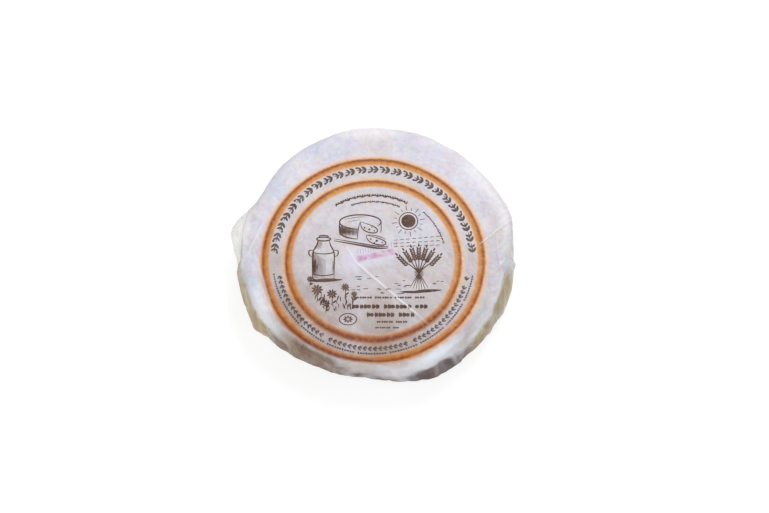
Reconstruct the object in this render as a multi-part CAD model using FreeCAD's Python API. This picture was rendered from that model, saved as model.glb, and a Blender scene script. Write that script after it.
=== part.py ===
import FreeCAD, Part
import math
import os

# A round, flat, soft cheese wrapped and shut in one sheet of printed paper, as one solid.
# +Z is up and the wheel lies flat on Z = 0. The origin is under the middle of its box.
# The reader of the label stands at -Y, with +X to the right. Lengths are millimetres and
# directions are degrees, anticlockwise from +X as seen from above.

# Overall sizes
wheel_radius = 88.0      # the paper round the far side, where it fits the cheese most closely
pack_height = 32.0       # from the resting face to the flat of the top
rim_round = 5.0          # rounding of the top edge
foot_round = 3.5         # rounding of the bottom edge
top_dish = 0.9           # how far the middle of the top has sunk
waist_height = 14.4      # where the paper is slackest

# The outline goes through these stations: direction, then how far the paper stands out past
# wheel_radius under the rim, at the waist and at the foot. The wheel is slack in its paper:
# it fits closely at the far and near left sides, and stands off on the right in a box-like
# bend. A stretch between two folds is pulled straight.
stations = [
    (0, 6.0, 9.0, 7.0),
    (12, 8.0, 8.6, 5.0),
    (24, 6.6, 7.0, 4.0),
    (36, 4.8, 5.6, 3.5),
    (63, 2.4, 3.6, 2.0),
    (90, 1.2, 2.5, 1.0),
    (120, -0.2, 1.0, -1.0),
    (153, -2.2, -0.5, -2.0),
    (171, 2.0, 5.0, 2.0),
    (183, 3.0, 5.5, 4.5),
    (198, 3.0, 5.0, 5.0),
    (213, 4.0, 6.6, 6.6),
    (219, 1.0, 2.5, 3.0),
    (243, -2.0, -1.5, -1.0),
    (261, -2.0, -1.0, -0.8),
    (282, 2.0, 4.0, 4.0),
    (300, 6.0, 8.0, 9.6),
    (318, 4.0, 7.0, 6.6),
    (333, 6.0, 9.4, 9.5),
    (345, 6.6, 10.0, 11.0),
]
pulled_straight = [(171, 183), (198, 213), (213, 219), (300, 318), (318, 333)]

# Folded corners of the sheet that stand off the side: direction, reach past the side, half
# width in degrees, height of the tip, and how far the fold runs above and below its tip
ears = [
    (173, 8.4, 13.0, 21.5, 13.0),
    (12, 2.6, 14.0, 24.0, 12.0),
]

# Pleats that take up the slack of the sheet down the side
pleat_count = 30
pleat_depth = 1.1
pleat_half_width = 4.5   # degrees
pleat_wander = 3.5       # degrees that a pleat leaves its even place
pleat_lean = 5.0         # degrees that a pleat leans between foot and rim
weakest_pleat = 0.45     # share of pleat_depth that the shallowest pleat keeps
pleat_end_fade = 0.12    # share of the side over which a pleat dies out at rim and foot

# The folded ends under the wheel leave a square of the inner layer bare, a little higher up
underside_gap = 34.0     # half the width of that square
underside_step = 0.8     # thickness of the folded ends
gap_bevel = 2.0          # run of the step between the layers
gap_squareness = 6       # 2 would be a circle, and a high number a sharp square

# Facets of the paper
sides = 120
side_steps = 5
rim_steps = 4
foot_steps = 3
top_rings = (0.82, 0.55, 0.28)   # shares of the way from the middle of the top to the rim


def turn_between(start, end):
    """Degrees from one direction to another, going anticlockwise."""
    return (end - start) % 360


def nearest_turn(direction, target):
    """Signed degrees from target to direction, the short way round."""
    return (direction - target + 180) % 360 - 180


def reach_at(direction, line):
    """Radius of the plain outline at a direction: line 1 is under the rim, 2 waist, 3 foot."""
    for place, start in enumerate(stations):
        end = stations[(place + 1) % len(stations)]
        span = turn_between(start[0], end[0])
        gone = turn_between(start[0], direction)
        if gone < span:
            break
    near = wheel_radius + start[line]
    far = wheel_radius + end[line]
    if (start[0], end[0]) in pulled_straight:
        chord_top = near * far * math.sin(math.radians(span))
        chord_foot = near * math.sin(math.radians(gone))
        chord_foot += far * math.sin(math.radians(span - gone))
        return chord_top / chord_foot
    ease = (1 - math.cos(math.pi * gone / span)) / 2
    return near + (far - near) * ease


def pleat_at(direction, up):
    """How far the pleats stand out; up goes from 0 at the foot to 1 at the rim.

    The sines only scatter the pleats: each pleat's number gives it another place, lean and
    strength.
    """
    depth = 0.0
    for number in range(pleat_count):
        place = 360 * number / pleat_count + pleat_wander * math.sin(2.4 * number * number)
        place += pleat_lean * math.sin(1.7 * number) * (up - 0.5)
        scatter = abs(math.sin(3.1 * number + 0.7))
        strength = weakest_pleat + (1 - weakest_pleat) * scatter
        away = abs(nearest_turn(direction, place)) / pleat_half_width
        depth = max(depth, strength * max(0.0, 1 - away))
    along = pleat_end_fade + (1 - 2 * pleat_end_fade) * up
    return pleat_depth * depth * math.sin(math.pi * along)


def ear_at(direction, height):
    """How far the folded corners stand out past the side."""
    reach = 0.0
    for place, length, half_width, tip, run in ears:
        across = max(0.0, 1 - abs(nearest_turn(direction, place)) / half_width)
        along = max(0.0, 1 - abs(height - tip) / run)
        reach += length * across * along
    return reach


def side_at(direction, height):
    """Radius of the paper at a direction and a height, rim and foot rounding left out."""
    rim = pack_height - rim_round
    if height < waist_height:
        low_line, high_line, low, high = 3, 2, foot_round, waist_height
    else:
        low_line, high_line, low, high = 2, 1, waist_height, rim
    share = (height - low) / (high - low)
    radius = reach_at(direction, low_line) * (1 - share) + reach_at(direction, high_line) * share
    up = (height - foot_round) / (rim - foot_round)
    return radius + pleat_at(direction, up) + ear_at(direction, height)


def gap_at(direction):
    """Radius of the square gap between the folded ends, with its corners rounded."""
    across = abs(math.cos(math.radians(direction)))
    along = abs(math.sin(math.radians(direction)))
    corner = (across ** gap_squareness + along ** gap_squareness) ** (1 / gap_squareness)
    return underside_gap / corner


def section(direction):
    """Radius and height of every level at one direction, from the underside up to the top."""
    levels = [(gap_at(direction) - gap_bevel, underside_step), (gap_at(direction), 0.0)]
    foot = side_at(direction, foot_round)
    for step in range(foot_steps + 1):
        bend = math.pi / 2 * step / foot_steps
        radius = foot - foot_round * (1 - math.sin(bend))
        levels.append((radius, foot_round * (1 - math.cos(bend))))
    rim_height = pack_height - rim_round
    for step in range(1, side_steps):
        height = foot_round + (rim_height - foot_round) * step / side_steps
        levels.append((side_at(direction, height), height))
    rim = side_at(direction, rim_height)
    for step in range(rim_steps + 1):
        bend = math.pi / 2 * step / rim_steps
        radius = rim - rim_round * (1 - math.cos(bend))
        levels.append((radius, rim_height + rim_round * math.sin(bend)))
    flat = rim - rim_round
    for share in top_rings:
        levels.append((flat * share, pack_height - top_dish * (1 - share * share)))
    return levels


def paper_points():
    """Every corner of the facets: one ring of them a level, then the two middles."""
    columns = []
    for side in range(sides):
        direction = 360 * side / sides
        angle = math.radians(direction)
        column = []
        for radius, height in section(direction):
            column.append((radius * math.cos(angle), radius * math.sin(angle), height))
        columns.append(column)
    points = [columns[side][level] for level in range(len(columns[0])) for side in range(sides)]
    points.append((0.0, 0.0, underside_step))
    points.append((0.0, 0.0, pack_height - top_dish))
    return points, len(columns[0])


def paper_facets(levels):
    """Triangles between neighbouring rings, and the fans that shut the two middles."""
    facets = []
    for level in range(levels - 1):
        for side in range(sides):
            after = (side + 1) % sides
            low, low_after = level * sides + side, level * sides + after
            high, high_after = low + sides, low_after + sides
            facets.append((low, low_after, high_after))
            facets.append((low, high_after, high))
    underside_middle = levels * sides
    top_middle = underside_middle + 1
    last = (levels - 1) * sides
    for side in range(sides):
        after = (side + 1) % sides
        facets.append((underside_middle, after, side))
        facets.append((top_middle, last + side, last + after))
    return facets


def wrapped_wheel():
    """The shut pack, moved so that the origin is under the middle of its box."""
    points, levels = paper_points()
    skin = Part.Shape()
    skin.makeShapeFromMesh((points, paper_facets(levels)), 0.001)
    solid = Part.Solid(Part.Shell(skin.Faces)).removeSplitter()
    box = solid.BoundBox
    solid.translate(FreeCAD.Vector(-box.Center.x, -box.Center.y, -box.ZMin))
    return solid


os.makedirs("parts", exist_ok=True)
wheel = wrapped_wheel()
wheel.exportStep("parts/wrapped_wheel.step")
size = wheel.BoundBox
print("wrapped_wheel: %.1f x %.1f x %.1f mm" % (size.XLength, size.YLength, size.ZLength))
print("volume %.1f cm3, valid %s" % (wheel.Volume / 1000, wheel.isValid()))
print("%d faces" % len(wheel.Faces))
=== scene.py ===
import math
import random
from itertools import product

import bmesh
import bpy
from mathutils import Matrix, Vector, noise
from mathutils.bvhtree import BVHTree


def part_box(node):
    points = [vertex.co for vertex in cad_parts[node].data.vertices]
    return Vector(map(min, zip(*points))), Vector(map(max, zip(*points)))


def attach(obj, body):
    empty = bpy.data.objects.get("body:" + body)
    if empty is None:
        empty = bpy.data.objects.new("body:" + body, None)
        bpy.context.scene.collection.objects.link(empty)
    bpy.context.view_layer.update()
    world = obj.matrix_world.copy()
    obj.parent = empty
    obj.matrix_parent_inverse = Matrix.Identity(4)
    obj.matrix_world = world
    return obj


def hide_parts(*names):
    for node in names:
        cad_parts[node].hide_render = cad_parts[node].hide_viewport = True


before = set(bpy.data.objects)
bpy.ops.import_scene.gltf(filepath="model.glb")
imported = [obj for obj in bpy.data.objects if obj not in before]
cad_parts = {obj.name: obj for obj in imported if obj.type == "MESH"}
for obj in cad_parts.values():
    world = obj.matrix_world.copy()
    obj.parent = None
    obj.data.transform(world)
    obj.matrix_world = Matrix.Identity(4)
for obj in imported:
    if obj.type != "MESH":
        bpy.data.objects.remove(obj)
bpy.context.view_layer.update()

# ------------------------------ the wrapping paper
# One sheet of thin waxed paper shuts in a whole soft cheese. It is pulled tight over the top and
# the rim, gathered into leaning pleats round the side, and clings to the damp rind in patches.
# The maker's printed rings lie in the sheet itself, so they bend and wear with it.
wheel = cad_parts["wrapped_wheel"]
low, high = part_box("wrapped_wheel")
mid_height = (low.z + high.z) / 2
print_middle = Vector((0.0006, -0.0131))  # the print isn't quite in the middle of the wheel
print_stretch = 1.012  # the sheet is pulled a little longer front to back
turns, cuts_each = 90, 7  # the sheet is spun coarse, then cut fine
core_radius = 0.074  # inside it the top and the underside are near flat
spun_radius = 0.104  # the loose shape that is drawn in onto the wheel
rim_top = 0.0311  # below this height the sheet goes down the side
side_share = 0.8  # how much of the way down counts as way out
foot_lift = 0.0007  # room under the wheel for the folded flaps
corner_at, corner_half = 173, 17  # degrees: where the loose corner stands, half its width
under_corner = 0.0885  # how far out the sheet may come behind that corner

cheese = bmesh.new()
cheese.from_mesh(wheel.data)
bmesh.ops.remove_doubles(cheese, verts=cheese.verts, dist=1e-5)
cheese_surface = BVHTree.FromBMesh(cheese)
cheese.free()

wrap = bmesh.new()
corners = [(0, high.z), (core_radius, high.z), (spun_radius, high.z), (spun_radius, low.z),
           (core_radius, low.z), (0, low.z)]
rings_between = [38, 24, 38, 14, 6]
chain = [wrap.verts.new((0, 0, high.z))]
for (x0, z0), (x1, z1), cuts in zip(corners, corners[1:], rings_between):
    for k in range(1, cuts + 2):
        share = k / (cuts + 1)
        chain.append(wrap.verts.new((x0 + (x1 - x0) * share, 0, z0 + (z1 - z0) * share)))
        wrap.edges.new(chain[-2:])
bmesh.ops.spin(wrap, geom=wrap.verts[:] + wrap.edges[:], cent=(0, 0, 0), axis=(0, 0, 1),
               angle=math.tau, steps=turns, use_merge=True, use_duplicate=False)
bmesh.ops.remove_doubles(wrap, verts=wrap.verts, dist=1e-6)
hoops = []
for edge in wrap.edges:
    one, two = edge.verts
    if abs(one.co.z - two.co.z) < 1e-5 and abs(one.co.xy.length - two.co.xy.length) < 1e-5:
        hoops.append(edge)
bmesh.ops.subdivide_edges(wrap, edges=hoops, cuts=cuts_each, use_grid_fill=True)
bmesh.ops.recalc_face_normals(wrap, faces=wrap.faces)

# the paper is laid onto the wheel: straight up or down in the middle, fanned out round the rim
for vert in wrap.verts:
    flat = Vector((vert.co.x, vert.co.y, 0))
    inner = flat if flat.length <= core_radius else flat.normalized() * core_radius
    start = inner + Vector((0, 0, mid_height))
    laid = cheese_surface.ray_cast(start, (vert.co - start).normalized())[0]
    vert.co = laid
    # behind the loose corner at the left the sheet itself keeps to the wheel
    turn = abs(math.degrees(math.atan2(laid.y, laid.x)) % 360 - corner_at)
    out = laid.xy.length
    if turn < corner_half and out > under_corner:
        pull = (out - under_corner) * 0.8 * min(1, (corner_half - turn) / 5) / out
        vert.co = laid - Vector((laid.x * pull, laid.y * pull, 0))
sides = [v for v in wrap.verts if math.hypot(v.co.x, v.co.y) > core_radius * 0.9]
for _ in range(3):
    bmesh.ops.smooth_vert(wrap, verts=sides, factor=0.5, use_axis_x=True, use_axis_y=True,
                          use_axis_z=True)

# creases pressed into the top: both ends in plan, height and half width in millimetres, and how
# far the print is worn off
creases_mm = [
    (-11.2, -14.9, 30.4, -53.8, 0.6, 0.85, 1.0), (-11.2, -14.9, -18.5, -2, 0.22, 0.8, 0.35),
    (30.4, -53.8, 37, -60, 0.2, 0.9, 0.2), (75.5, 0.6, 93.5, 16, 0.65, 0.8, 0.8),
    (-75.2, 15, -85.4, -9.7, 0.45, 0.9, 0.6), (-88, 20, -90.5, -9, 0.75, 0.7, 0.2),
    (-80.5, -8, -69, -46, 0.18, 1.2, 0.3), (54.2, -70.3, 66, -76, -0.8, 1.5, 0.0),
    (80, -8, 90.5, -1, 0.35, 0.8, 0.3), (85, 2, 87, -19, 0.4, 0.7, 0.4),
    (82, -24, 90, -13, 0.35, 0.8, 0.3), (89, -23, 85, -38, 0.35, 0.8, 0.3),
    (-76, -33, -66, -56, 0.25, 1, 0.3), (-30, 72, -12, 83, 0.18, 1.2, 0.1),
    (42, 64, 60, 60, 0.15, 1.4, 0.1), (-64, 38, -50, 56, 0.16, 1.2, 0.1)]
creases = [[value / 1000 for value in sizes] + [worn] for *sizes, worn in creases_mm]


def clamped(value):
    return min(1, max(0, value))


def turn_from(direction, middle):
    """The signed turn in degrees from one direction to another, the short way round."""
    return (direction - middle + 180) % 360 - 180


def crease_at(x, y):
    """How far the creases lift the paper at a place, and how worn the print is there."""
    lift, wear = 0.0, 0.0
    for x0, y0, x1, y1, height, half, worn in creases:
        run = math.hypot(x1 - x0, y1 - y0)
        along = ((x - x0) * (x1 - x0) + (y - y0) * (y1 - y0)) / run
        across = ((x - x0) * (y1 - y0) - (y - y0) * (x1 - x0)) / run
        across += 0.00045 * noise.noise(Vector((along * 210, x0 * 900, 0)))
        if not -0.004 < along < run + 0.004 or abs(across) > 8 * half:
            continue
        ends = clamped((along + 0.004) / 0.008) * clamped((run + 0.004 - along) / 0.008)
        ridge = max(0.0, 1 - abs(across) / (1.6 * half)) ** 1.4
        dip = math.exp(-((across - 2.6 * half) / (1.7 * half)) ** 2)
        lift += ends * height * (ridge - 0.45 * dip)
        wear = max(wear, ends * worn * max(0.0, 1 - abs(across) / half))
    return lift, wear


def cut_along_creases(shape, reach):
    """Cuts a mesh just beside each crease, so that the fold has a crisp line of its own."""
    tray = {}

    def put_in_tray(face):
        spot = face.calc_center_median()
        tray.setdefault((int(spot.x // reach), int(spot.y // reach)), []).append(face)

    for face in shape.faces:
        if face.normal.z > 0.3:
            put_in_tray(face)
    for x0, y0, x1, y1, height, half, worn in creases:
        way = Vector((x1 - x0, y1 - y0, 0))
        side = Vector((way.y, -way.x, 0)).normalized()
        near = set()
        walk = int(way.length / reach * 2) + 1
        for step in range(-1, walk + 2):
            cell_x = int((x0 + way.x * step / walk) // reach)
            cell_y = int((y0 + way.y * step / walk) // reach)
            for i, j in product((-1, 0, 1), repeat=2):
                near.update(tray.get((cell_x + i, cell_y + j), ()))
        bits = set()
        for face in near:
            if face.is_valid:
                bits.update([face, *face.edges, *face.verts])
        for offset in (-1.6, -0.7, 0, 0.7, 1.6):
            if bits:
                bits = bmesh.ops.bisect_plane(shape, geom=list(bits), dist=1e-6, plane_no=side,
                                              plane_co=Vector((x0, y0, 0)) + side * offset * half)["geom"]
        for bit in bits:
            if isinstance(bit, bmesh.types.BMFace) and bit not in near:
                put_in_tray(bit)


cut_along_creases(wrap, 0.003)
wrap.normal_update()

# the gathered pleats: each starts as a point near the rim and widens to the foot, where the sheet
# lies in three thicknesses; its crisp edge stands a little off the side, its other edge is flat
deal = random.Random(41)
calm = [(176, 222, 0.25), (222, 264, 0.25), (264, 340, 0.30), (340, 352, 0.6)]
pleats = []
for k in range(46):
    direction = (k * 7.83 + deal.uniform(-3, 3)) % 360
    depth = deal.uniform(0.0005, 0.0014)
    for start, stop, share in calm:
        if start <= direction < stop:
            depth *= share
    pleats.append((direction, deal.uniform(-8, 8), deal.uniform(2.5, 8.5), depth,
                   deal.choice((1, 1, 1, -1)), deal.uniform(0.72, 1.0)))


def pleat_at(direction, height):
    """How far the pleats push the paper out, where it is doubled, and the shade beside a fold."""
    push, doubled, shade = 0.0, 0.0, 0.0
    for middle, lean, spread, depth, hand, starts in pleats:
        down = (starts - height) / starts
        if down <= 0:
            continue
        turn = turn_from(direction, middle + lean * down) * hand
        wide = spread * down + 0.2
        if not -wide < turn < 2.2:
            continue
        deep = depth * min(1, down * 2.0)
        strong = min(1, (depth / 0.0007) ** 2)
        rise = 1 + turn / wide
        if turn <= 0:
            push += deep * min(1, rise * 4) * (0.35 + 0.65 * rise)
            white = min(1, rise * wide / 0.9)
        else:
            step = min(1.0, turn / 1.1)
            push += deep * (1 - step * step * (3 - 2 * step))
            white = 1 - step
            shade = max(shade, min(1, turn / 0.7) * (1 - turn / 2.2) * min(1, down * 3) * strong)
        doubled = max(doubled, white * min(1, down * 4) * strong)
    return push, doubled, shade


# where the paper clings to the rind, stands off it or lies in the shade of a fold, as seen from the middle
# of the print: middle and half width in degrees, how far out it starts, and strength. The rind patches on
# the near side also carry painted shade, the loose patches a painted highlight where a ridge faces the lamp,
# and the dim patches are painted fold shade
patches_of = {
    "khaki": [(198, 22, 0.0868, 1.0), (328, 17, 0.0888, 1.0), (345, 19, 0.0880, 1.0),
              (118, 30, 0.1060, 0.55), (72, 22, 0.1070, 0.6), (22, 18, 0.0990, 0.5),
              (148, 18, 0.1060, 0.5), (172, 22, 0.0868, 0.62)],
    "rind_and_shade": [(238, 22, 0.0735, 1.0), (221, 15, 0.0855, 0.9), (252, 13, 0.0775, 0.85),
             (262, 12, 0.0850, 0.9), (299, 21, 0.0900, 1.0), (315, 15, 0.0925, 0.9),
             (272, 22, 0.0905, 0.75), (48, 18, 0.1080, 0.5)],
    "loose": [(172, 22, 0.0850, 1.0), (283, 24, 0.0765, 0.62), (302, 22, 0.0750, 1.0),
              (332, 22, 0.0810, 0.85), (207, 18, 0.0768, 1.0), (5, 24, 0.0890, 0.6),
              (90, 16, 0.1030, 0.6), (135, 14, 0.1030, 0.6), (26, 32, 0.0870, 0.55),
              (92, 18, 0.0890, 0.75), (60, 14, 0.0940, 0.6)],
    "dim": [(270, 12, 0.0800, 1.0), (312, 10, 0.0770, 0.5), (291, 16, 0.0840, 0.35)]}


def patch_at(kind, spot):
    """A soft field from 0 to 1; the paper's own grain gives it its ragged edge."""
    strongest = 0.0
    x, y = spot.x - print_middle.x, spot.y - print_middle.y
    out = math.hypot(x, y) + side_share * max(0.0, rim_top - spot.z)
    if out < 0.075:
        return 0.0
    direction = math.degrees(math.atan2(y, x)) % 360
    for middle, half, start, strength in patches_of[kind]:
        turn = abs(turn_from(direction, middle))
        if turn < half and out > start:
            inside = min(1, (half - turn) / 14) * min(1, (out - start) / 0.0075)
            strongest = max(strongest, strength * inside)
    return strongest


fields = wrap.verts.layers.float
worn_layer, doubled_layer, shade_layer, side_layer = map(fields.new, ("worn", "doubled", "shade", "side"))
patch_layers = {kind: fields.new(kind) for kind in patches_of}
# how the paper stands off the cheese on the near side: middle, half width in degrees, how far
stands_off = [(222, 46, 0.0018), (251, 22, 0.0010), (288, 11, 0.0020), (316, 16, 0.0024)]
moves = []
for vert in wrap.verts:
    spot, facing = vert.co, vert.normal
    direction = math.degrees(math.atan2(spot.y, spot.x)) % 360
    height = (spot.z - low.z) / (high.z - low.z)
    upright = clamped(1.3 - 1.3 * abs(facing.z))
    push = 0.00013 * noise.noise(spot * 48) + 0.00005 * noise.noise(spot * 150)
    folds = noise.voronoi(spot * 75)[0]
    push += (0.00012 + 0.00085 * upright) * (min(0.4, folds[1] - folds[0]) - 0.2)
    if upright > 0:
        folds = noise.voronoi(spot * 170)[0]
        push += 0.00030 * upright * (min(0.4, folds[1] - folds[0]) - 0.2)
        push += upright * (0.0006 * noise.noise(spot * 42) + 0.00022 * noise.noise(spot * 130))
    if facing.z > 0.3:
        lift, wear = crease_at(spot.x, spot.y)
        push += lift
        vert[worn_layer] = wear
    if upright > 0 and height > 0.03:
        lift, vert[doubled_layer], vert[shade_layer] = pleat_at(direction, height)
        push += lift * min(1, height / 0.12) * min(1, upright * 2)
        vert[side_layer] = min(1, upright * 1.6) * clamped((0.93 - height) / 0.12)
    for middle, half, stand in stands_off:
        turn = abs(turn_from(direction, middle)) / half
        if turn < 1:
            push += stand * (1 - turn ** 4) * upright * clamped((1.0 - height) / 0.25)
    # the pocket of slack paper at the near right: a ridge under the rim, hollow below it
    turn = (direction - 298) / 9
    push += upright * math.exp(-turn * turn) * (0.0016 * math.exp(-((height - 0.86) / 0.12) ** 2)
                                                - 0.0030 * math.exp(-((height - 0.42) / 0.2) ** 2))
    if facing.z < -0.6:
        push = 0.0
    for kind, layer in patch_layers.items():
        vert[layer] = patch_at(kind, spot)
    moves.append(spot + facing * push)
for vert, place in zip(wrap.verts, moves):
    share = max(0.0, 1 - (place.z - low.z) / 0.004)
    place.z = max(place.z, low.z) + foot_lift * share
    vert.co = place
bmesh.ops.recalc_face_normals(wrap, faces=wrap.faces)
for face in wrap.faces:
    face.smooth = True
paper_surface = BVHTree.FromBMesh(wrap)


def made_from(shape, name):
    """Turns a finished shape into an object of that name in the scene."""
    mesh = bpy.data.meshes.new(name)
    shape.to_mesh(mesh)
    shape.free()
    made = bpy.data.objects.new(name, mesh)
    bpy.context.scene.collection.objects.link(made)
    return made


paper_wrap = made_from(wrap, "paper_wrap")


def rgb(red, green, blue):
    """A colour as a painter writes it, 0 to 255, turned into what the shader wants."""
    parts = [value / 255 for value in (red, green, blue)]
    return tuple(p / 12.92 if p <= 0.04045 else ((p + 0.055) / 1.055) ** 2.4 for p in parts) + (1,)


def feed(tree, node, inputs):
    """Sets a shader node's inputs to values, or links them to other nodes' outputs."""
    for name, value in inputs.items():
        if isinstance(value, bpy.types.NodeSocket):
            tree.links.new(value, node.inputs[name])
        else:
            node.inputs[name].default_value = value


def add(tree, kind, inputs=None, **settings):
    made = tree.nodes.new("ShaderNode" + kind)
    for name, value in settings.items():
        setattr(made, name, value)
    feed(tree, made, inputs or {})
    return made


def maths(tree, operation, first, second=0.0, third=0.0):
    made = add(tree, "Math", {0: first, 1: second, 2: third}, operation=operation)
    return made.outputs[0]


def times(tree, amount, *shares):
    for share in shares:
        amount = maths(tree, "MULTIPLY", amount, share)
    return amount


def rest_of(tree, share):
    return maths(tree, "SUBTRACT", 1.0, share)


def mixed(tree, factor, first, second, blend_type="MIX"):
    made = add(tree, "Mix", {0: factor, 6: first, 7: second}, data_type="RGBA",
               blend_type=blend_type)
    return made.outputs[2]


def steps(tree, value, stops):
    """A ramp through stops: a place and either one grey or a colour's red, green and blue."""
    made = add(tree, "ValToRGB", {"Fac": value})
    ramp = made.color_ramp.elements
    while len(ramp) < len(stops):
        ramp.new(0.5)
    for element, (place, *colour) in zip(ramp, stops):
        element.position = place
        element.color = rgb(*colour) if len(colour) == 3 else (*colour * 3, 1)
    return made.outputs["Color"]


def between(tree, value, lowest, highest, start=0.0, stop=1.0):
    made = add(tree, "MapRange", {"Value": value, "From Min": lowest, "From Max": highest,
                                  "To Min": start, "To Max": stop})
    return made.outputs["Result"]


def mottle(tree, place, scale, detail, roughness=0.5, distortion=0.0):
    """A soft random pattern, mostly from 0.3 to 0.7."""
    made = add(tree, "TexNoise", {"Vector": place, "Scale": scale, "Detail": detail,
                                  "Roughness": roughness, "Distortion": distortion})
    return made.outputs["Fac"]


def field(tree, name):
    """A value that was drawn over the sheet's points."""
    return add(tree, "Attribute", attribute_name=name, attribute_type="GEOMETRY").outputs["Fac"]


def split_up(tree, vector):
    made = add(tree, "SeparateXYZ", {0: vector})
    return made.outputs["X"], made.outputs["Y"], made.outputs["Z"]


def shared_look(name, inputs, outputs):
    """A node group with these sockets, and the nodes its values come in and go out by."""
    made = bpy.data.node_groups.new(name, "ShaderNodeTree")
    for in_out, sockets in (("INPUT", inputs), ("OUTPUT", outputs)):
        for socket, kind in sockets.items():
            made.interface.new_socket(name=socket, in_out=in_out, socket_type="NodeSocket" + kind)
    return made, made.nodes.new("NodeGroupInput").outputs, made.nodes.new("NodeGroupOutput")


# the paper's own look, shared by every sheet of it: damp mottling, fibres and fine crumples
paper_look, given, gives = shared_look(
    "waxed paper", {"Place": "Vector", "Dampness": "Float"},
    {"Color": "Color", "Roughness": "Float", "Height": "Float"})
tree, place = paper_look, given["Place"]
clouds = mottle(tree, place, 42, 6, 0.62, 0.4)
patches = mottle(tree, place, 19, 5, 0.62, 0.9)
blots = mottle(tree, place, 130, 4, 0.65, 0.5)
flecks = mottle(tree, place, 330, 3, 0.6)
fibres = mottle(tree, place, 1400, 2, 0.6)
tone = steps(tree, clouds, [(0.34, 208, 217, 236), (0.44, 221, 222, 236), (0.53, 227, 224, 235),
                            (0.62, 227, 219, 225), (0.72, 220, 214, 214)])
tone = mixed(tree, between(tree, flecks, 0.42, 0.66, 0.0, 0.45), tone, rgb(204, 202, 214))
damp = times(tree, between(tree, patches, 0.45, 0.62), given["Dampness"])
tone = mixed(tree, damp, tone, rgb(196, 188, 193))
spots = times(tree, between(tree, blots, 0.50, 0.68, 0.0, 0.8), given["Dampness"])
tone = mixed(tree, spots, tone, rgb(200, 186, 178))
tone = mixed(tree, between(tree, fibres, 0.35, 0.7, 0.0, 0.10), tone, rgb(178, 172, 176))
tints = add(tree, "TexNoise", {"Vector": place, "Scale": 190, "Detail": 3, "Roughness": 0.55})
tints = tints.outputs["Color"]
tone = mixed(tree, 0.34, tone, tints, "OVERLAY")
ripples = mottle(tree, place, 260, 4, 0.6)
wobble = add(tree, "TexNoise", {"Vector": place, "Scale": 60, "Detail": 2}).outputs["Color"]
wobble = add(tree, "VectorMath", {0: wobble, "Scale": 0.006}, operation="SCALE").outputs["Vector"]
bent = add(tree, "VectorMath", {0: place, 1: wobble}, operation="ADD").outputs["Vector"]
wide_folds = add(tree, "TexVoronoi", {"Vector": bent, "Scale": 78},
                 feature="DISTANCE_TO_EDGE").outputs["Distance"]
small_folds = add(tree, "TexVoronoi", {"Vector": bent, "Scale": 210},
                  feature="DISTANCE_TO_EDGE").outputs["Distance"]
fold_lines = times(tree, between(tree, wide_folds, 0.0, 0.030, 1.0, 0.0), 0.6,
                   between(tree, clouds, 0.45, 0.6), 0.35)
tone = mixed(tree, fold_lines, tone, rgb(240, 240, 246))
relief = times(tree, between(tree, wide_folds, 0.0, 0.25), 0.30)
relief = maths(tree, "MULTIPLY_ADD", between(tree, small_folds, 0.0, 0.3), 0.14, relief)
relief = maths(tree, "MULTIPLY_ADD", ripples, 0.45, relief)
relief = maths(tree, "MULTIPLY_ADD", clouds, 0.8, relief)
relief = maths(tree, "MULTIPLY_ADD", fibres, 0.06, relief)
gloss = between(tree, clouds, 0.3, 0.7, 0.36, 0.56)
gloss = maths(tree, "MULTIPLY_ADD", damp, -0.10, gloss)
feed(tree, gives, {"Color": tone, "Roughness": gloss, "Height": relief})


def new_material(name):
    made = bpy.data.materials.new(name)
    made.use_nodes = True
    return made, made.node_tree, made.node_tree.nodes["Principled BSDF"]


def new_paper(name, dampness):
    """A material with the paper's own look in it, and the place it is looked up at."""
    made, tree, shader = new_material(name)
    place = add(tree, "TexCoord").outputs["Object"]
    look = add(tree, "Group", {"Place": place, "Dampness": dampness}, node_tree=paper_look)
    return made, tree, shader, place, look


def finish_paper(tree, shader, look, colour, strength, distance):
    bump = add(tree, "Bump", {"Height": look.outputs["Height"], "Strength": strength,
                              "Distance": distance})
    feed(tree, shader, {"Base Color": colour, "Roughness": look.outputs["Roughness"],
                        "Normal": bump.outputs["Normal"]})


printed_paper, tree, shader, place, look = new_paper("printed waxed paper", 0.5)
colour = look.outputs["Color"]

# inside the rings the paper is greyer: mottled damp where the cheese sweats, darkened towards the near left
# by painted shade
on_print = add(tree, "Mapping", {"Vector": place, "Location": (-print_middle.x, -print_middle.y, 0),
                                 "Scale": (1, 1, 0)}).outputs["Vector"]
on_print = add(tree, "VectorMath", {0: on_print, 1: (1, 1 / print_stretch, 0)},
               operation="MULTIPLY").outputs["Vector"]
flat_reach = add(tree, "VectorMath", {0: on_print}, operation="LENGTH").outputs["Value"]
height = split_up(tree, place)[2]
drop = maths(tree, "MAXIMUM", maths(tree, "SUBTRACT", rim_top, height), 0.0)
from_middle = maths(tree, "MULTIPLY_ADD", drop, side_share, flat_reach)
print_x, print_y, _ = split_up(tree, on_print)
nearness = maths(tree, "MULTIPLY_ADD", print_x, 0.45, print_y)
downwards = between(tree, nearness, 0.040, -0.062)
# the damp mottling is made thicker towards the near side and thinner at the far side: partly damp, partly
# painted shade near and painted sheen far
tree.links.new(between(tree, print_y, 0.07, -0.03, 0.2, 0.9), look.inputs["Dampness"])
sweat_and_shade = mottle(tree, place, 30, 5, 0.6, 1.2)
sweat_and_shade = times(tree, between(tree, sweat_and_shade, 0.36, 0.62, 0.45, 1.0),
              between(tree, from_middle, 0.0775, 0.0745), between(tree, downwards, 0, 1, 0.40, 1.0), 0.95)
sweat_and_shade_tone = steps(tree, downwards, [(0.1, 192, 178, 168), (0.5, 190, 180, 180), (0.9, 156, 134, 121)])
colour = mixed(tree, sweat_and_shade, colour, sweat_and_shade_tone)

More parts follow.
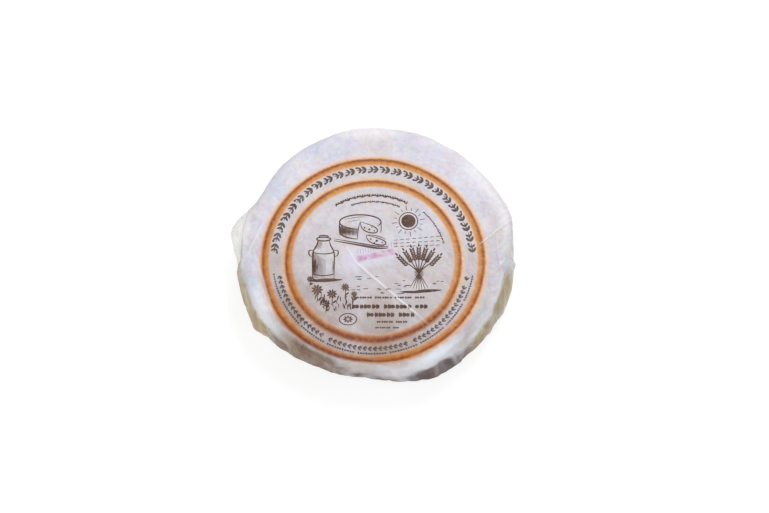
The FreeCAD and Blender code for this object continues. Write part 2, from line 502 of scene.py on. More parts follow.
# the rings: orange with a browner line along the middle and a peach bleed at the edges; on the
# near side both lie a little further in
inner_edges, outer_edges, between_rings = (0.0538, 0.0642), (0.0697, 0.0801), (0.0660, 0.0670)
bleed = mottle(tree, place, 420, 2)
wander = between(tree, bleed, 0.3, 0.7, -0.00018, 0.00018)
radius = maths(tree, "ADD", from_middle, wander)
nearer = maths(tree, "MULTIPLY_ADD", print_y, 0.008, radius)
nearer = maths(tree, "ADD", nearer, between(tree, print_y, -0.030, -0.055, 0, 0.0010))
inner_ring = between(tree, nearer, *inner_edges)
outward = maths(tree, "ADD", radius, between(tree, print_y, -0.040, -0.066, 0, 0.0011))
outer_ring = between(tree, outward, *outer_edges)
ring_ink = [(0.03, 0.0), (0.10, 0.45), (0.20, 0.95), (0.40, 1.0), (0.62, 1.0), (0.70, 0.85),
            (0.82, 0.36), (0.98, 0.0)]
ring_tones = [(0.10, 226, 182, 140), (0.22, 210, 148, 86), (0.34, 202, 130, 56), (0.44, 170, 96, 32),
              (0.50, 136, 66, 12), (0.56, 150, 80, 26), (0.62, 206, 146, 92), (0.70, 238, 190, 148),
              (0.84, 238, 204, 178)]
ink_amount = maths(tree, "MAXIMUM", steps(tree, inner_ring, ring_ink), steps(tree, outer_ring, ring_ink))
which_ring = between(tree, radius, *between_rings)
ring_colour = mixed(tree, which_ring, steps(tree, inner_ring, ring_tones),
                    steps(tree, outer_ring, ring_tones))
patchy = mottle(tree, place, 60, 4)
ring_colour = mixed(tree, between(tree, patchy, 0.50, 0.70, 0, 0.35), ring_colour, rgb(206, 150, 60))
# on the near side the rings are darker and redder: painted shade, where the rim bends away from the lamp
painted_ring_shade_tones = [(0.10, 200, 174, 158), (0.20, 190, 146, 116), (0.28, 172, 114, 78),
                (0.36, 148, 82, 44), (0.44, 124, 56, 18), (0.54, 102, 38, 4),
                (0.62, 110, 44, 8), (0.70, 130, 66, 32), (0.80, 164, 108, 76)]
painted_ring_shade_place = mixed(tree, which_ring, inner_ring, outer_ring)
inner_ring_shade = between(tree, print_y, -0.022, -0.050)
outer_ring_shade = between(tree, nearness, -0.068, -0.080)
painted_ring_shade = maths(tree, "ADD", times(tree, inner_ring_shade, rest_of(tree, which_ring)),
               times(tree, outer_ring_shade, which_ring))
painted_ring_shade = times(tree, painted_ring_shade, between(tree, patchy, 0.3, 0.6, 1.0, 0.75))
# painted shade: the rings darken towards the near side
ring_colour = mixed(tree, times(tree, downwards, 0.5), ring_colour, rgb(214, 180, 160), "MULTIPLY")
ring_colour = mixed(tree, painted_ring_shade, ring_colour, steps(tree, painted_ring_shade_place, painted_ring_shade_tones))
grain = mottle(tree, place, 300, 4, 0.6)
ring_colour = mixed(tree, between(tree, grain, 0.50, 0.70, 0, 0.22), ring_colour, rgb(226, 166, 92))
ring_colour = mixed(tree, between(tree, grain, 0.48, 0.30, 0, 0.24), ring_colour, rgb(134, 66, 22))
worn = field(tree, "worn")
top_side = between(tree, height, 0.015, 0.022)
kept_ink = times(tree, ink_amount, rest_of(tree, worn), top_side, between(tree, bleed, 0.2, 0.5, 0.9, 1.0))
colour = mixed(tree, kept_ink, colour, ring_colour)

# a smudged pink date stamp on a paler patch, set a little askew across the middle
askew = add(tree, "Mapping", {"Vector": on_print, "Location": (-0.0022, -0.0032, 0),
                              "Rotation": (0, 0, math.radians(-13))}).outputs["Vector"]
stamp_x, stamp_y, _ = split_up(tree, askew)
smudge = mottle(tree, place, 330, 3)


def bar_mask(half_long, half_high, soft, shift_x=0.0, shift_y=0.0):
    """1 inside a bar that lies along the stamp, 0 outside it."""
    along = maths(tree, "ABSOLUTE", maths(tree, "SUBTRACT", stamp_x, shift_x))
    high_up = maths(tree, "ABSOLUTE", maths(tree, "SUBTRACT", stamp_y, shift_y))
    return times(tree, between(tree, along, half_long, half_long - soft),
                 between(tree, high_up, half_high, half_high - soft))


pale_patch = times(tree, bar_mask(0.0210, 0.0115, 0.0070, -0.004, 0.001), 0.62, top_side)
colour = mixed(tree, pale_patch, colour, rgb(224, 218, 236))
smudge = between(tree, smudge, 0.34, 0.60, 0.2, 0.95)
pink = times(tree, bar_mask(0.0138, 0.0030, 0.0019), smudge, top_side)
colour = mixed(tree, pink, colour, rgb(197, 140, 178))

# down the side one thickness lets the rind show through, and a doubled pleat stays white
drawn_down = add(tree, "Mapping", {"Vector": place, "Scale": (1.0, 1.0, 0.4)}).outputs["Vector"]
streaks = mottle(tree, drawn_down, 85, 5, 0.6, 0.4)
ragged = mottle(tree, place, 135, 4, 0.6, 0.8)


def patch_mask(name, soft=0.26):
    """A patch with a soft, ragged edge, out of the field drawn over the sheet."""
    drawn = field(tree, name)
    edge = maths(tree, "MULTIPLY_ADD", maths(tree, "SUBTRACT", ragged, 0.5), 0.8, drawn)
    return times(tree, between(tree, edge, 0.5 - soft, 0.5 + soft), between(tree, drawn, 0.0, 0.2))


doubled, side_here = field(tree, "doubled"), field(tree, "side")
covered = rest_of(tree, times(tree, doubled, 0.6))
single = rest_of(tree, times(tree, doubled, 0.85))
off_print = rest_of(tree, times(tree, kept_ink, 0.85))
see_rind = times(tree, side_here, between(tree, streaks, 0.36, 0.62, 0.15, 0.62), single, off_print)
colour = mixed(tree, see_rind, colour, rgb(186, 166, 130))
colour = mixed(tree, times(tree, doubled, off_print, 0.30), colour, rgb(232, 232, 236))

# the crease backs are bare white paper, and the clinging patches show the rind, with painted shade in the
# rind patches on the near side
colour = mixed(tree, times(tree, worn, 0.9), colour, rgb(246, 246, 250))
unprinted = rest_of(tree, kept_ink)
# dim patches are painted fold shade in cool grey; loose patches are whiter where the sheet stands off the
# rind, partly as a painted highlight on ridges that face the lamp, and bluer on the near side
dim = times(tree, patch_mask("dim", 0.45), unprinted, 0.75)
loose = times(tree, patch_mask("loose", 0.34), unprinted, 0.7)
near_side = between(tree, print_y, 0.0, -0.05)
loose_tone = mixed(tree, near_side, rgb(249, 247, 249), rgb(240, 246, 255))
colour = mixed(tree, loose, colour, loose_tone)
colour = mixed(tree, dim, colour, rgb(170, 163, 172))
khaki_tone = steps(tree, streaks, [(0.32, 148, 124, 74), (0.50, 178, 155, 106), (0.66, 208, 193, 158)])
colour = mixed(tree, times(tree, patch_mask("khaki"), covered, 0.92), colour, khaki_tone)
# these rind colours also hold painted shade: the near wall faces away from the lamp, and its darkness is
# painted into these browns and greys
shaded_brown_rind = steps(tree, streaks, [(0.32, 98, 72, 50), (0.48, 127, 98, 74), (0.66, 160, 139, 120)])
shaded_grey_rind = steps(tree, streaks, [(0.32, 88, 71, 66), (0.48, 118, 98, 93), (0.66, 172, 153, 150)])
rightwards = between(tree, print_x, -0.045, 0.020)
rind_and_shade_tone = mixed(tree, rightwards, shaded_brown_rind, shaded_grey_rind)
# painted shade: darker low on the wall, most of all towards the right
deep = times(tree, between(tree, height, 0.015, 0.003, 0, 0.8), between(tree, rightwards, 0, 1, 0.5, 1.0))
rind_and_shade_tone = mixed(tree, deep, rind_and_shade_tone, rgb(140, 132, 126), "MULTIPLY")
colour = mixed(tree, times(tree, patch_mask("rind_and_shade", 0.36), covered, 0.96, off_print), colour, rind_and_shade_tone)
colour = mixed(tree, times(tree, field(tree, "shade"), off_print, 0.42), colour, rgb(128, 112, 100))
# painted contact shade with some damp: darker at the foot all round
foot = times(tree, between(tree, height, 0.0052, 0.0008, 0.0, 0.6),
             between(tree, ragged, 0.35, 0.6, 0.5, 1.0))
colour = mixed(tree, foot, colour, rgb(112, 94, 80))
finish_paper(tree, shader, look, colour, 0.85, 0.0007)
feed(tree, shader, {"Coat Weight": 0.04, "Coat Roughness": 0.38, "Specular IOR Level": 0.3})
paper_wrap.data.materials.append(printed_paper)
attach(paper_wrap, "root")
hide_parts("wrapped_wheel")

# ------------------------------ the loose corner at the left
# A corner of the same sheet that wasn't pressed down: two thicknesses of thin paper, so light
# comes through it. It is creased along the rim and only touches the wheel at its two ends.
corner = bmesh.new()
corner_from, corner_to = 157, 190  # degrees round the wheel
corner_thick = 0.00014  # two thicknesses of the sheet
aimed_out = 0.0905  # far enough out for a ray to meet the wheel's side
bmesh.ops.create_grid(corner, x_segments=66, y_segments=36, size=0.5)
edge_layer = corner.verts.layers.float.new("edge")
for vert in corner.verts:
    across, up = vert.co.x + 0.5, vert.co.y + 0.5
    direction = math.radians(corner_from + (corner_to - corner_from) * across)
    hem = 0.10 + 0.10 * abs(across - 0.5) + 0.02 * math.sin(across * 21)
    rise = hem + (1.06 - hem) * up
    way = Vector((math.cos(direction), math.sin(direction), 0))
    start = way * core_radius + Vector((0, 0, mid_height))
    aim = way * (aimed_out - core_radius) + Vector((0, 0, (rise - 0.5) * (high.z - low.z)))
    hit = cheese_surface.ray_cast(start, aim.normalized())[0]
    away = math.sin(math.pi * clamped(across)) ** 0.6 * min(1, (1 - up) / 0.25 + 0.02)
    wave = 0.0006 * noise.noise(hit * 160) + 0.0009 * noise.noise(hit * 60)
    vert.co = hit + way * (0.0002 + away * wave) - way * 0.0007 * (1 - away)
    vert[edge_layer] = max(0.0, 1 - min(across, 1 - across, up * 0.7) / 0.05)
bmesh.ops.recalc_face_normals(corner, faces=corner.faces)
if sum(face.normal.x for face in corner.faces) >= 0:
    bmesh.ops.reverse_faces(corner, faces=corner.faces)
bmesh.ops.solidify(corner, geom=corner.faces[:], thickness=corner_thick)
for face in corner.faces:
    face.smooth = True
loose_corner = made_from(corner, "loose_corner")

thin_paper, tree, shader, place, look = new_paper("thin unprinted paper", 0.1)
edge = field(tree, "edge")
colour = mixed(tree, 0.8, look.outputs["Color"], rgb(252, 252, 250))
finish_paper(tree, shader, look, mixed(tree, edge, colour, rgb(226, 226, 214)), 0.3, 0.0005)
cloudy = mottle(tree, place, 34, 3, 0.5, 1.5)
cloudy = between(tree, cloudy, 0.38, 0.62, 0.08, 0.26)
cloudy = maths(tree, "MAXIMUM", cloudy, times(tree, edge, 0.26))
feed(tree, shader, {"Alpha": cloudy, "Specular IOR Level": 0.2})
loose_corner.data.materials.append(thin_paper)
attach(loose_corner, "root")

# ------------------------------ the folded flaps underneath
# The sheet's four sides are turned under one after the other, each over the last, and leave a
# square of the inner layer bare in the middle. Nothing holds them but the wheel's own weight.
plain_paper, tree, shader, place, look = new_paper("plain waxed paper", 0.9)
colour = mixed(tree, 0.25, look.outputs["Color"], rgb(206, 196, 176))
finish_paper(tree, shader, look, colour, 0.85, 0.0007)
gap_half = 0.017  # half the bare square in the middle
flap_reach = 0.083  # from the middle out to the foot of the wheel
flap_thick = 0.00013
full_lap = 0.00040  # how far the flap that laps the last one stands over it


def cut_off(shape, point, away):
    """Cuts a flat sheet through a point and drops the part that lies that way."""
    bmesh.ops.bisect_plane(shape, geom=shape.verts[:] + shape.edges[:] + shape.faces[:], dist=1e-6,
                           plane_co=point, plane_no=away, clear_outer=True)


for k in range(4):
    flap = bmesh.new()
    bmesh.ops.create_grid(flap, x_segments=24, y_segments=24, size=flap_reach)
    turned = Matrix.Rotation(math.radians(90 * k), 3, "Z")
    for point, away in (((0, gap_half, 0), (0, -1, 0)), ((0.004, 0, 0), (-0.72, -0.69, 0)),
                        ((-0.004, 0, 0), (0.69, -0.72, 0))):
        cut_off(flap, turned @ Vector(point), turned @ Vector(away))
    for n in range(24):
        way = Vector((math.cos(math.radians(15 * n)), math.sin(math.radians(15 * n)), 0))
        cut_off(flap, way * flap_reach, way)
    for vert in flap.verts:
        out = turned.inverted() @ vert.co
        lap = clamped((out.x / max(out.y, 0.01) + 0.95) / 0.5)
        vert.co.z = low.z + 0.00002 + full_lap * lap + 0.00003 * noise.noise(vert.co * 90)
    for face in flap.faces:
        face.smooth = True
        if face.normal.z > 0:
            face.normal_flip()
    bmesh.ops.solidify(flap, geom=flap.faces[:], thickness=-flap_thick)
    for vert in flap.verts:
        vert.co.z = max(vert.co.z, low.z)
    bmesh.ops.recalc_face_normals(flap, faces=flap.faces)
    fold_flap = made_from(flap, f"fold_flap_{k + 1}")
    fold_flap.data.materials.append(plain_paper)
    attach(fold_flap, "root")

# ------------------------------ the ink of the border
# Dark brown ink between the two rings: a garland of leaves and berries over the far side, and
# two finer rows of lozenges and dashes on the near side. It is laid on the sheet as a thin film.
film = 0.00006  # how far the ink stands on the paper
longest_edge = 0.0022  # the ink is cut finer than this before it is draped


def leaf(shape, x, y, turn, long, wide):
    """A pointed leaf as one flat face, in metres about the middle of the print."""
    made = bmesh.ops.create_circle(shape, cap_ends=True, segments=12, radius=long / 2)["verts"]
    for vert in made:
        share = vert.co.x / (long / 2)
        vert.co.y = math.copysign(wide / 2 * (1 - share * share), vert.co.y) if abs(vert.co.y) > 1e-9 else 0
    bmesh.ops.transform(shape, verts=made,
                        matrix=Matrix.Translation((x, y, 0)) @ Matrix.Rotation(turn, 4, "Z"))


def disc(shape, x, y, radius, segments=12):
    bmesh.ops.create_circle(shape, cap_ends=True, segments=segments, radius=radius,
                            matrix=Matrix.Translation((x, y, 0)))


def around(radius, degrees):
    return radius * math.cos(math.radians(degrees)), radius * math.sin(math.radians(degrees))


def in_row(start, stop, k, count):
    """The direction of the k-th of a row that is spread evenly from start to stop."""
    return start + (stop - start) * k / (count - 1)


def lay_ink(shape, name, ink, lift=film):
    """Cuts the ink small, drapes it over the paper and makes it a piece."""
    bmesh.ops.triangulate(shape, faces=shape.faces)
    for _ in range(3):
        long_edges = [edge for edge in shape.edges if edge.calc_length() > longest_edge]
        if not long_edges:
            break
        bmesh.ops.subdivide_edges(shape, edges=long_edges, cuts=1)
        bmesh.ops.triangulate(shape, faces=shape.faces)
    bmesh.ops.scale(shape, vec=(1, print_stretch, 1), verts=shape.verts)
    bmesh.ops.translate(shape, verts=shape.verts, vec=(print_middle.x, print_middle.y, 0))
    shape.normal_update()
    for face in shape.faces:
        if face.normal.z < 0:
            face.normal_flip()
    cut_along_creases(shape, 0.003)
    worn_here = shape.verts.layers.float.new("worn")
    for vert in shape.verts:
        vert[worn_here] = crease_at(vert.co.x, vert.co.y)[1]
        hit = paper_surface.ray_cast(Vector((vert.co.x, vert.co.y, 0.1)), Vector((0, 0, -1)))[0]
        vert.co.z = hit.z + lift + vert.co.z
    for face in shape.faces:
        face.smooth = True
    piece = made_from(shape, name)
    piece.data.materials.append(ink)
    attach(piece, "root")


# how printed ink breaks up on waxed paper, shared by every ink: it is thin in specks and patches,
# and gone where a fold has rubbed it
ink_wear, given, gives = shared_look(
    "ink on paper", {"Coverage": "Float", "Worn": "Float", "Place": "Vector"}, {"Mask": "Float"})
tree = ink_wear
specks = mottle(tree, given["Place"], 700, 3, 0.6)
faded = mottle(tree, given["Place"], 55, 3, 0.6)
mask = times(tree, between(tree, specks, 0.28, 0.46, 0.45, 1.0), between(tree, faded, 0.3, 0.5, 0.72, 1.0),
             given["Coverage"], rest_of(tree, given["Worn"]))
feed(tree, gives, {"Mask": mask})


def ink_material(name, colour, thinned, coverage):
    made, tree, shader = new_material(name)
    place = add(tree, "TexCoord").outputs["Object"]
    wear = add(tree, "Group", {"Place": place, "Coverage": coverage, "Worn": field(tree, "worn")},
               node_tree=ink_wear)
    thinning = between(tree, mottle(tree, place, 120, 3), 0.35, 0.7)
    feed(tree, shader, {"Base Color": mixed(tree, thinning, colour, thinned),
                        "Alpha": wear.outputs["Mask"], "Roughness": 0.5, "Specular IOR Level": 0.25})
    return made


border_ink = ink_material("dark border ink", rgb(80, 60, 52), rgb(112, 94, 86), 0.92)
fine_ink = ink_material("thin grey ink", rgb(66, 54, 58), rgb(104, 90, 88), 0.66)
garland = bmesh.new()
band_middle = 0.0679
sprays = 25
for k in range(sprays):
    direction = 4 + 172 * (k + 0.5) / sprays
    tangent = math.radians(direction + 90)
    flip = 1 if k % 2 else -1
    for swing, out, turn, long, wide in [
            (-1.35, 0.0014, 0.62, 0.0044, 0.0019), (-1.35, -0.0014, -0.62, 0.0044, 0.0019),
            (1.15, 0.0012, 0.75, 0.0034, 0.0015), (1.15, -0.0012, -0.75, 0.0034, 0.0015)]:
        x, y = around(band_middle + out, direction + swing)
        leaf(garland, x, y, tangent - turn, long, wide)
    x, y = around(band_middle, direction)
    leaf(garland, x, y, tangent, 0.0080, 0.0009)
    x, y = around(band_middle + 0.0019 * flip, direction + 2.75)
    disc(garland, x, y, 0.00085, 10)
lay_ink(garland, "border_garland", border_ink)

lower_rows = bmesh.new()
lozenges, lozenge_radius, bead_radius = 52, 0.0649, 0.0646
for k in range(lozenges):
    direction = in_row(191, 347, k, lozenges)
    if k % 17 == 16:
        continue
    x, y = around(lozenge_radius, direction)
    turn = math.radians(direction)
    for hand in (-1, 1):
        leaf(lower_rows, x + hand * 0.0006 * math.cos(turn + 1.2 * hand) + 0.0005 * hand * math.cos(turn),
             y + hand * 0.0006 * math.sin(turn + 1.2 * hand) + 0.0005 * hand * math.sin(turn),
             turn + 0.9 * hand, 0.0034, 0.0014)
    x, y = around(bead_radius, direction + 1.5)
    disc(lower_rows, x, y, 0.00065, 8)
dashes, dash_radius = 108, 0.0684
for k in range(dashes):
    direction = in_row(189, 351, k, dashes)
    if k % 12 == 11:
        continue
    x, y = around(dash_radius, direction)
    leaf(lower_rows, x, y, math.radians(direction + (90 if k % 3 else 20)), 0.0020, 0.0013)
lay_ink(lower_rows, "border_rows", fine_ink)

# ------------------------------ the ink in the middle
# A generic farm vignette in brown pen line inside the rings: a milk churn, a cut cheese on its
# board, a wheat sheaf, a low sun over ploughed rows and some daisies, over plain ruled lines.
pen_lines = bpy.data.curves.new("pen lines", "CURVE")
pen_lines.dimensions = "3D"
pen_lines.bevel_depth = 0.001
pen_lines.bevel_resolution = 0
pen_lines.resolution_u = 5
pen_lines.use_fill_caps = True
thickness_seen = 1.7  # how much wider than its width in mm a stroke's bevel is
picture_reach = 50  # millimetres; the drawing stays inside the inner ring


def pen(points, width, closed=False):
    """A pen stroke through points in millimetres, fine at its ends like a nib's."""
    line = pen_lines.splines.new("NURBS")
    line.points.add(len(points) - 1)
    last = len(points) - 1
    for k, (point, (x, y)) in enumerate(zip(line.points, points)):
        point.co = (x / 1000, y / 1000, 0, 1)
        thin = not closed and k in (0, last)
        point.radius = width / thickness_seen * (0.35 if thin else 1)
    line.order_u = 3
    line.use_endpoint_u = not closed
    line.use_cyclic_u = closed


def moved(points, x, y, turn=0.0, size=1.0):
    cosine, sine = math.cos(turn) * size, math.sin(turn) * size
    return [(x + px * cosine - py * sine, y + px * sine + py * cosine) for px, py in points]


def oval(x, y, wide, high, start=0, stop=360, count=12):
    closed = stop - start >= 360
    ends = count if closed else count + 1
    return [(x + wide * math.cos(math.radians(start + (stop - start) * k / count)),
             y + high * math.sin(math.radians(start + (stop - start) * k / count)))
            for k in range(ends)]


def blot(x, y, turn, long, wide):
    """A pointed mass of ink, in millimetres."""
    leaf(masses, x / 1000, y / 1000, turn, long / 1000, wide / 1000)


def dot(x, y, radius, segments=12):
    disc(masses, x / 1000, y / 1000, radius / 1000, segments)


def off(x, y, angle, far):
    return x + far * math.cos(angle), y + far * math.sin(angle)


masses = bmesh.new()
nib = random.Random(5)
upright = math.pi / 2

# the milk churn: body, shoulder, neck, lid, handles and hatching down its shaded side
churn = {"x": -34, "y": -1, "size": 1.12}
body = [(-6.5, -11), (-6.8, 2), (-6.4, 7), (-3.8, 11), (-3.4, 14.5)]
pen(moved(body, **churn), 0.85)
pen(moved([(-x, y) for x, y in body], **churn), 0.75)
for points, width in [(oval(0, -11, 6.5, 1.9, 180, 360), 0.9), (oval(0, 6.6, 6.5, 1.7, 180, 360), 0.6),
                      (oval(0, -7.6, 6.6, 1.8, 180, 360), 0.6), (oval(0, 16.3, 3.0, 0.9, 0, 180), 0.7),
                      ([(-6.4, 7), (-9.2, 8.2), (-8.8, 3.4), (-6.8, 3.2)], 0.8),
                      ([(6.4, 7), (9.2, 8.2), (8.8, 3.4), (6.8, 3.2)], 0.7)]:
    pen(moved(points, **churn), width)
pen(moved(oval(0, 14.8, 4.4, 1.3), **churn), 0.75, closed=True)
for k in range(11):
    left = -6.2 + 0.72 * k
    pen(moved([(left, -11 - 0.12 * k), (left + 0.1, -2), (left + 0.3, 6.0 - 0.5 * k)], **churn),
        0.85 - 0.06 * k)
for k in range(4):
    pen(moved([(-3.0 + 0.7 * k, 13.6), (-3.4 + 0.8 * k, 11.0), (-4.9 + 0.9 * k, 8.2)], **churn),
        0.6 - 0.06 * k)
for x, tall, wide in [(-6.0, 13, 1.5), (-4.9, 11, 1.2), (-3.9, 8.5, 0.9), (5.9, 10, 0.7)]:
    x, y = moved([(x, -3.5)], **churn)[0]
    blot(x, y, upright, tall, wide)
blot(-32.5, -15, 0.05, 24, 2.8)

# the cut cheese on its board: a low round with a wedge drawn out towards the front
cheese_cut = {"x": -9, "y": 23.5, "size": 1.2}
for points, width in [(oval(0, 4, 12, 4.6, -35, 262, 16), 0.8), ([(12, 3.6), (12, -1.5), (11.6, -2.6)], 0.8),
                      ([(-12, 4), (-12, -2), (-10.8, -4.2), (-6, -6.2), (-1.5, -6.6)], 0.95),
                      ([(0, 4.2), (-1.6, -0.7), (-1.5, -6.6)], 0.8),
                      ([(0, 4.2), (9.9, 1.3), (9.8, -3.6), (0, -1.2), (0, 4.2)], 0.7),
                      ([(3.4, -4.0), (14.6, -6.8), (14.6, -11.2), (3.4, -8.4), (3.4, -4.0)], 0.75),
                      ([(3.4, -4.0), (9.8, -3.8), (14.6, -6.8)], 0.7),
                      ([(-15, -6.4), (0, -9.2), (12, -11.6), (16, -11.0)], 0.8),
                      ([(-15, -7.6), (0, -10.4), (12, -12.8), (16, -12.0)], 1.2),
                      ([(-9, 5.6), (-3, 7.4), (3, 7.2)], 0.45), ([(-7, 3.8), (-3.4, 5.2), (0, 5.4)], 0.4)]:
    pen(moved(points, **cheese_cut), width)
for k in range(14):
    left = -11.6 + 0.78 * k
    drop = -4.2 - 2.2 * math.sin(max(0.0, (left + 11.6) / 10.2) * math.pi / 2)
    x, y = moved([(left, (drop + 2.2) / 2)], **cheese_cut)[0]
    blot(x, y, upright, 8.6 - 0.15 * k, 1.25 - 0.05 * k)
for x, y, wide in [(2.4, 0.4, 1.2), (5.2, -0.6, 1.5), (8.0, -1.4, 1.1), (6.6, 0.9, 0.9),
                   (6.0, -6.6, 1.2), (9.4, -7.6, 1.6), (12.6, -8.8, 1.1), (8.2, -8.9, 1.0)]:
    x, y = moved([(x, y)], **cheese_cut)[0]
    dot(x, y, wide / 1.9, 10)

# the low sun at the upper right, with its rays
sun_x, sun_y = 24, 29
dot(sun_x, sun_y, 4.9, 24)
pen(oval(sun_x, sun_y, 6.6, 6.6), 0.6, closed=True)
for k in range(16):
    ray = [around(out, k * 22.5 + 8) for out in (7.9, 9.8 if k % 2 else 11.6)]
    pen(moved(ray, sun_x, sun_y), 1.0)

# the wheat sheaf on the right: bound stalks and seven heavy ears
sheaf_x, sheaf_y = 31, -9
for k in range(7):
    lean = (k - 3) / 3
    foot = (sheaf_x - lean * 6.0, sheaf_y - 13 + 1.6 * lean * lean)
    head = (sheaf_x + lean * 11.5, sheaf_y + 14.5 - 5.5 * lean * lean)
    pen([foot, (sheaf_x - lean * 1.2, sheaf_y - 2), (sheaf_x + lean * 5, sheaf_y + 5), head], 0.7)
    angle = math.atan2(9, lean * 8)
    for row in range(5):
        out = 1.9 * row - 4.4
        for hand in (-1, 1):
            x, y = off(*off(*head, angle, out), angle - upright, hand * 0.85)
            blot(x, y, angle - hand * 0.5, 2.9, 1.35)
    blot(*off(*head, angle, 5.6), angle, 3.0, 1.3)
for k in range(5):
    pen([(sheaf_x - 3.0, sheaf_y - 2.6 + 0.8 * k), (sheaf_x, sheaf_y - 3.6 + 0.8 * k),
         (sheaf_x + 3.0, sheaf_y - 2.6 + 0.8 * k)], 0.7)
blot(sheaf_x + 5, sheaf_y - 13.8, 0.05, 22, 2.4)
blot(sheaf_x - 5, sheaf_y - 14.6, -0.03, 18, 1.8)

# daisies and grass at the lower left, and loose tufts over the field
for x, y, size in [(-38, -22, 1.25), (-28, -25, 1.1), (-19, -20, 0.9), (-43, -14, 0.7), (-32, -32, 0.9),
                   (-13, -25, 0.7)]:
    for k in range(9):
        angle = k * math.tau / 9
        blot(*off(x, y, angle, 2.0 * size), angle, 2.7 * size, 1.2 * size)
    dot(x, y, 0.8 * size)
    pen([(x, y - 2.6 * size), (x + 0.6, y - 5.0 * size), (x - 0.3, y - 7.4 * size)], 0.7)
    blot(x + 1.6 * size, y - 5.2 * size, 0.7, 3.4 * size, 1.3)
for k in range(58):
    x = nib.uniform(-45, -12)
    y = nib.uniform(-38, -28) + 0.10 * abs(x + 30)
    if math.hypot(x, y) > picture_reach:
        continue
    tall = nib.uniform(1.8, 4.2)
    sway = nib.uniform(-1.4, 1.4)
    pen([(x, y), (x + 0.3 * sway, y + 0.6 * tall), (x + sway, y + tall)], nib.uniform(0.6, 1.1))
for k in range(34):
    x, y = nib.uniform(-20, 46), nib.uniform(-25, -12)
    if math.hypot(x, y) > 49 or (abs(x - sheaf_x) < 8 and y > -22):
        continue
    wide = nib.uniform(1.6, 4.0)
    pen([(x, y), (x + wide / 2, y + nib.uniform(-0.3, 0.3)), (x + wide, y + nib.uniform(-0.3, 0.4))],
        nib.uniform(0.5, 0.85))

# ploughed rows behind the sheaf
for k, (y0, y1) in enumerate([(14.5, 18.0), (12.0, 14.5), (9.5, 11.0)]):
    for part in range(8):
        x = 14 + 4.1 * part
        rise = y0 + (y1 - y0) * part / 9
        if math.hypot(x + 3, rise) < picture_reach:
            pen([(x, rise), (x + 1.4, rise + 0.5 + 0.2 * k), (x + 2.9, rise + 0.4)], 0.6)

# fine hatching on the pale patch round the stamp
for k in range(16):
    x = -11 + 1.8 * k
    pen(moved([(x, 5.0), (x + 0.5, 8.6)], 1.5, 2.0, math.radians(13)), 0.35)

# bead-and-reel rules where the lines under the picture were set
for y, start, stop, tall, pitch in [(-27.6, -13, 35, 1.8, 1.7), (-34.2, -15, 37, 3.5, 2.7),
                                    (-40.2, -5, 28, 3.5, 2.7), (-45.4, 2, 24, 1.7, 1.6),
                                    (-49.6, 1, 25, 1.5, 1.5)]:
    beads = int((stop - start) / pitch)
    for k in range(beads):
        x = start + pitch * (k + 0.5)
        if math.hypot(x, y) > 52.5 or k % 8 == 7:
            continue
        if k % 3 == 1:
            dot(x, y, 0.40 * tall, 10)
        else:
            blot(x, y, upright, 1.12 * tall, 0.52 * tall)
            blot(x + 0.42 * pitch, y, upright, 0.9 * tall, 0.36 * tall)

# rows of tiny leaves that follow the inner ring
for radius, start, stop, count, long, wide in [(48.4, 62, 122, 40, 2.9, 1.15), (43.6, 66, 110, 34, 1.9, 0.8),
                                               (49.6, 15, 46, 24, 1.8, 0.8)]:
    for k in range(count):
        direction = in_row(start, stop, k + nib.uniform(-0.15, 0.15), count)
        x, y = around(radius, direction)
        blot(x, y, math.radians(direction + (0, 35, 90, -30)[k % 4]), long, wide)

# a blossom in an open ring fills the corner left of the rules
for k in range(8):
    angle = k * math.tau / 8
    blot(-17 + 2.2 * math.cos(angle), -43.5 + 1.7 * math.sin(angle), angle, 2.4, 1.3)
pen(oval(-17, -43.5, 6.0, 4.3), 0.6, closed=True)

lines = bpy.data.objects.new("pen lines", pen_lines)
bpy.context.scene.collection.objects.link(lines)
bpy.context.view_layer.update()
strokes = bpy.data.meshes.new_from_object(lines.evaluated_get(bpy.context.evaluated_depsgraph_get()))
bpy.data.objects.remove(lines)
line_work = bmesh.new()
line_work.from_mesh(strokes)
bmesh.ops.scale(line_work, vec=(1, 1, 0.08), verts=line_work.verts)
brown_ink = ink_material("brown picture ink", rgb(72, 47, 36), rgb(104, 76, 60), 0.97)
lay_ink(masses, "picture_masses", brown_ink)
lay_ink(line_work, "picture_lines", brown_ink, lift=film / 2)

# ------------------------------ the floor and the light
# A plain pale studio sweep. A broad soft light hangs behind and a little to the right, so the
# side towards the camera falls into gentle shade, and a weaker one fills it from the near left.
# The floor and the room light the wheel gently, and show as white only where they are looked at.
floor = bmesh.new()
bmesh.ops.create_grid(floor, x_segments=1, y_segments=1, size=6)
floor_sheet = made_from(floor, "floor")
floor_paint, tree, shader = new_material("pale floor")


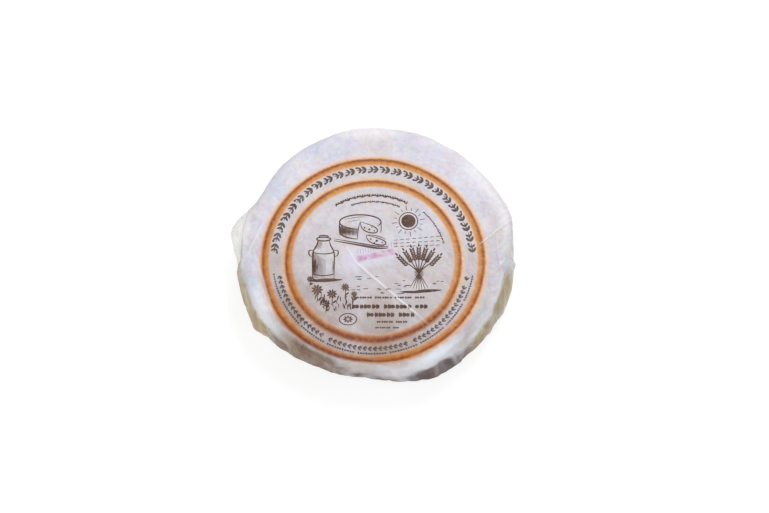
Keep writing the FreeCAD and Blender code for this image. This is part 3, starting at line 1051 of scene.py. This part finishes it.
def looked_at(tree):
    """1 where the camera, gloss or glass looks at it, 0 where it only lights other things."""
    seen = add(tree, "LightPath").outputs
    plainly = maths(tree, "MAXIMUM", seen["Is Camera Ray"], seen["Is Glossy Ray"])
    return maths(tree, "MAXIMUM", plainly, seen["Is Transmission Ray"])


shown = looked_at(tree)
how_far = add(tree, "VectorMath", {0: add(tree, "TexCoord").outputs["Object"]}, operation="LENGTH")
glow = between(tree, how_far.outputs["Value"], 0.22, 0.6, 0.80, 1.0)
feed(tree, shader, {"Base Color": between(tree, shown, 0, 1, 0.62, 0.26), "Roughness": 0.9,
                    "Specular IOR Level": 0.0, "Emission Color": (1, 1, 1, 1),
                    "Emission Strength": times(tree, shown, glow)})
floor_sheet.data.materials.append(floor_paint)

world = bpy.data.worlds.new("room")
bpy.context.scene.world = world
world.use_nodes = True
tree = world.node_tree
feed(tree, tree.nodes["Background"], {"Color": (1, 1, 1, 1),
                                      "Strength": between(tree, looked_at(tree), 0, 1, 0.53, 1.0)})


def stand(name, data, place, aim):
    """Stands a lamp or a camera at a place, turned towards another."""
    holder = bpy.data.objects.new(name, data)
    holder.matrix_world = Matrix.Translation(place) \
        @ (Vector(aim) - Vector(place)).to_track_quat("-Z", "Y").to_matrix().to_4x4()
    bpy.context.scene.collection.objects.link(holder)
    return holder


for name, place, size, watts in (("window", (0.45, 1.15, 1.35), 0.7, 16),
                                 ("fill", (-0.35, -1.6, 0.75), 1.2, 11)):
    lamp = bpy.data.lights.new(name, "AREA")
    lamp.shape = "DISK"
    lamp.size = size
    lamp.energy = watts
    stand(name, lamp, place, aim=(0, 0, 0.02))

# ------------------------------ the camera
# A long lens looks steeply down at the print from the near side, with no shift and no blur.
camera_data = bpy.data.cameras.new("camera")
camera_data.lens = 120
camera_data.sensor_width = 36
camera = stand("camera", camera_data, (0.0082, -0.7351, 1.6214), aim=(0.0082, -0.0108, 0.032))
bpy.context.scene.camera = camera
bpy.context.scene.view_settings.view_transform = "Standard"
